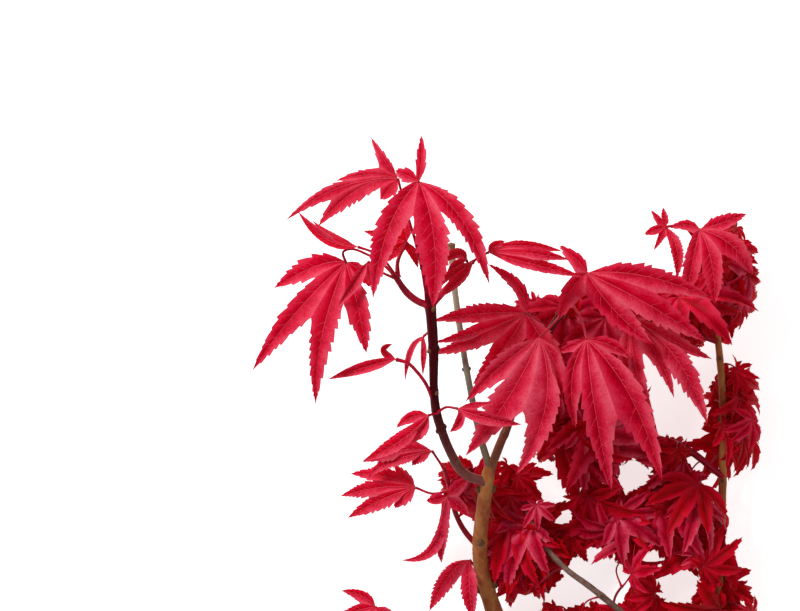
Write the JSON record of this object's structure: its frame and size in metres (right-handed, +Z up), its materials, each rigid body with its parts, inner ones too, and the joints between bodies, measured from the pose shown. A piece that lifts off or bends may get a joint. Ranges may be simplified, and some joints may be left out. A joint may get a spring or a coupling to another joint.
{
  "type": "cut japanese maple branch",
  "caption": "Cut Japanese maple branch lying flat, with a forked stem, a leading shoot of single deeply lobed leaves, a bare leader and masses of foliage beside and under it.",
  "frame": {"origin": "middle of the underside of the bounding box, on the surface the branch lies on", "axes": "+Y along the branch from its cut end towards the leading shoot, +Z up out of the surface, +X to the right seen from above"},
  "size_m": [0.172, 0.1908, 0.0941],
  "materials": {
    "old_bark": "smooth olive-brown bark",
    "young_bark": "smooth dark purple-red bark",
    "grey_bark": "dry grey-green bark",
    "leaf": "thin crimson leaf blade, slightly glossy",
    "shaded_leaf": "deep red foliage"
  },
  "bodies": {
    "root": {"arching_leaf_low": "leaf", "arching_leaf_right": "leaf", "back_leaf_low_left": "leaf", "bare_leader": "grey_bark", "centre_twig": "young_bark", "crown_leaf_front": "leaf", "crown_leaf_left": "leaf", "edge_leaf_upper_right": "leaf", "faint_leaf_left": "leaf", "far_leaf_upper_right": "leaf", "folded_leaf_left": "leaf", "folded_leaf_low": "leaf", "folded_leaf_right": "leaf", "foliage_at_bough": "shaded_leaf", "foliage_below_fork": "shaded_leaf", "foliage_bottom": "shaded_leaf", "foliage_bottom_right": "shaded_leaf", "foliage_centre": "shaded_leaf", "foliage_corner": "shaded_leaf", "foliage_edge_middle": "shaded_leaf", "foliage_edge_outer": "shaded_leaf", "foliage_edge_upper": "shaded_leaf", "foliage_left": "shaded_leaf", "foliage_lower_centre": "shaded_leaf", "foliage_lower_left": "shaded_leaf", "foliage_middle": "shaded_leaf", "foliage_middle_low": "shaded_leaf", "foliage_middle_right": "shaded_leaf", "foliage_right": "shaded_leaf", "foliage_stem_side": "shaded_leaf", "foliage_upper": "shaded_leaf", "foliage_upper_middle": "shaded_leaf", "foliage_upper_right": "shaded_leaf", "hanging_leaf_low_left": "leaf", "inner_leaf": "leaf", "inward_twig": "old_bark", "large_leaf_middle": "leaf", "large_leaf_right": "leaf", "leading_shoot": "young_bark", "leaf_behind_shoot": "leaf", "left_leaf": "leaf", "left_side_shoot": "young_bark", "left_twig": "young_bark", "low_leaf_left": "leaf", "lower_left_twig": "young_bark", "main_stem": "old_bark", "middle_twig": "young_bark", "narrow_leaf_left": "leaf", "outer_leaf_right": "leaf", "pointing_leaf_left": "leaf", "right_bough": "old_bark", "right_bough_tip": "old_bark", "right_shoot": "young_bark", "right_side_shoot": "young_bark", "star_leaf_low_left": "leaf", "tip_leaf_low_left": "leaf", "upper_twig": "young_bark", "young_leaf_lower": "leaf", "young_leaf_upper": "leaf"}
  },
  "joints": []
}
